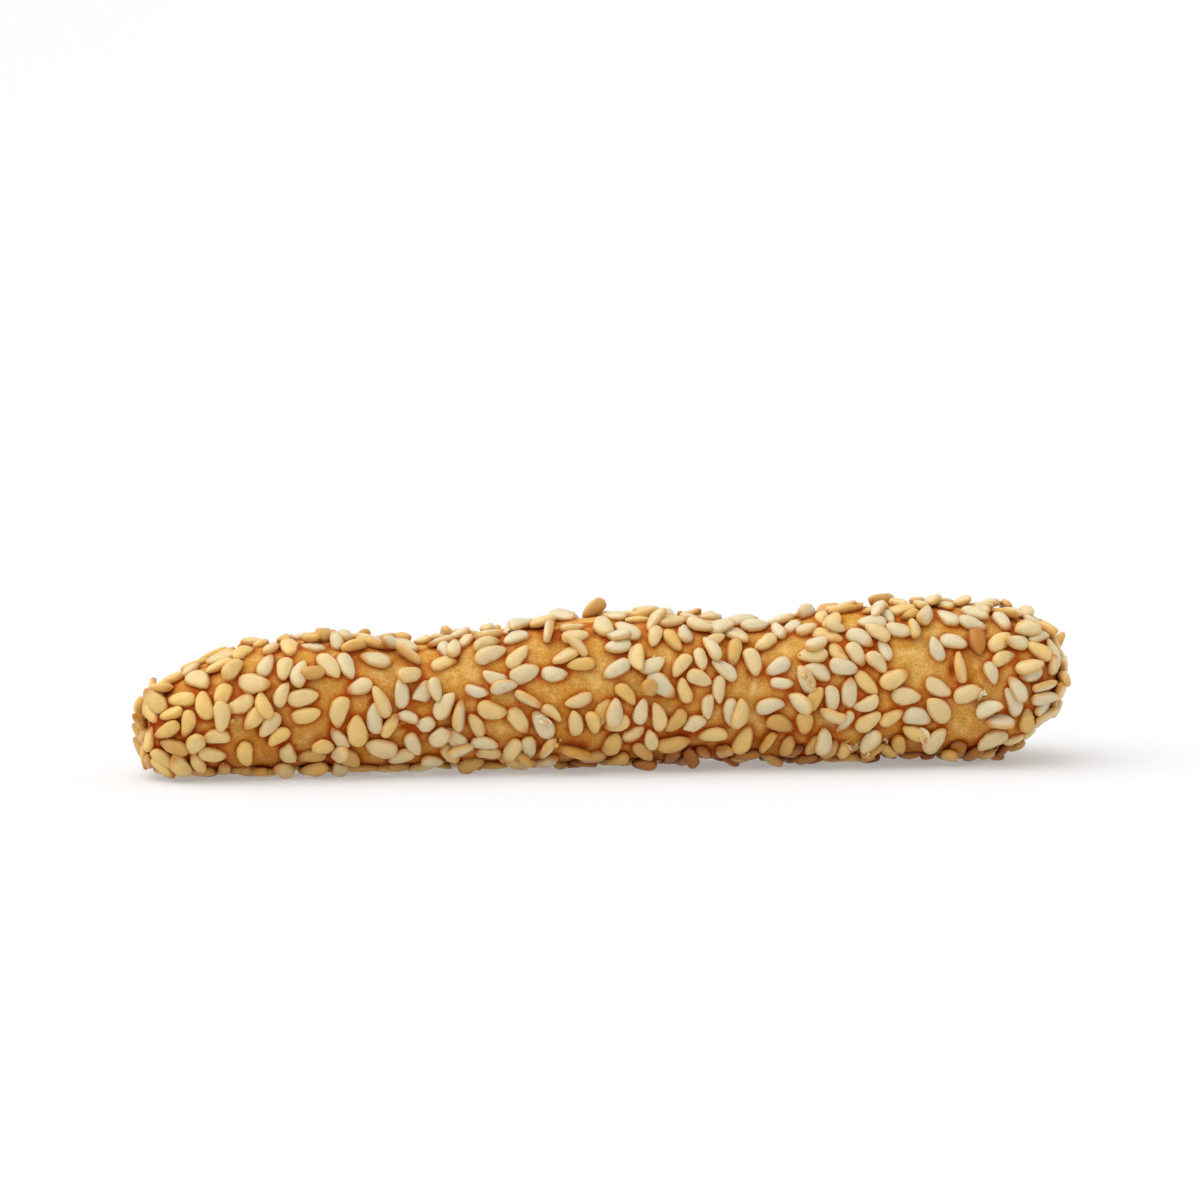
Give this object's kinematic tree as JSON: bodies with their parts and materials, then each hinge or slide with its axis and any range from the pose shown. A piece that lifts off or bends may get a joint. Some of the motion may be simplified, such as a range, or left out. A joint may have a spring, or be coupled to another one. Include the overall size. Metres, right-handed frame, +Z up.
{
  "type": "sesame stick",
  "caption": "Short straight bread stick with a blunt thin end and a rounder thick end, crusted all over with sesame seeds, lying flat.",
  "frame": {"origin": "on the table, under the middle of the stick's length and width", "axes": "+X along the stick from its thin blunt end to its thick round end, +Z up, -Y is the side seen"},
  "size_m": [0.093, 0.0172, 0.0166],
  "materials": {
    "baked_crust": "matt golden baked dough, browner underneath and beside the seeds",
    "sesame_seed": "satin cream hulled seed, some toasted golden or brown"
  },
  "bodies": {
    "root": {"stick": "baked_crust"}
  },
  "joints": []
}
